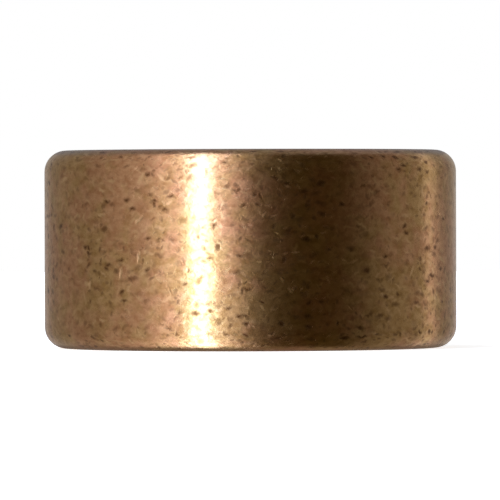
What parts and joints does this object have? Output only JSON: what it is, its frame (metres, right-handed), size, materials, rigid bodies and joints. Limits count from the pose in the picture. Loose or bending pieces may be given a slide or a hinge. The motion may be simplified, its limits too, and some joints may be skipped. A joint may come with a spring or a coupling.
{
  "type": "plain bronze sleeve bushing",
  "caption": "Short plain sleeve bushing of porous bronze with rounded outer edges; a shaft runs in its straight bore and its outside presses into a housing.",
  "frame": {"origin": "centre of the lower end face, on the bore axis", "axes": "+Z along the bore axis, from the lower end face to the upper one"},
  "size_m": [0.025, 0.025, 0.012],
  "materials": {
    "porous_bronze": "satin sized bronze with fine dark pores"
  },
  "bodies": {
    "root": {"bushing_sleeve": "porous_bronze"}
  },
  "joints": []
}
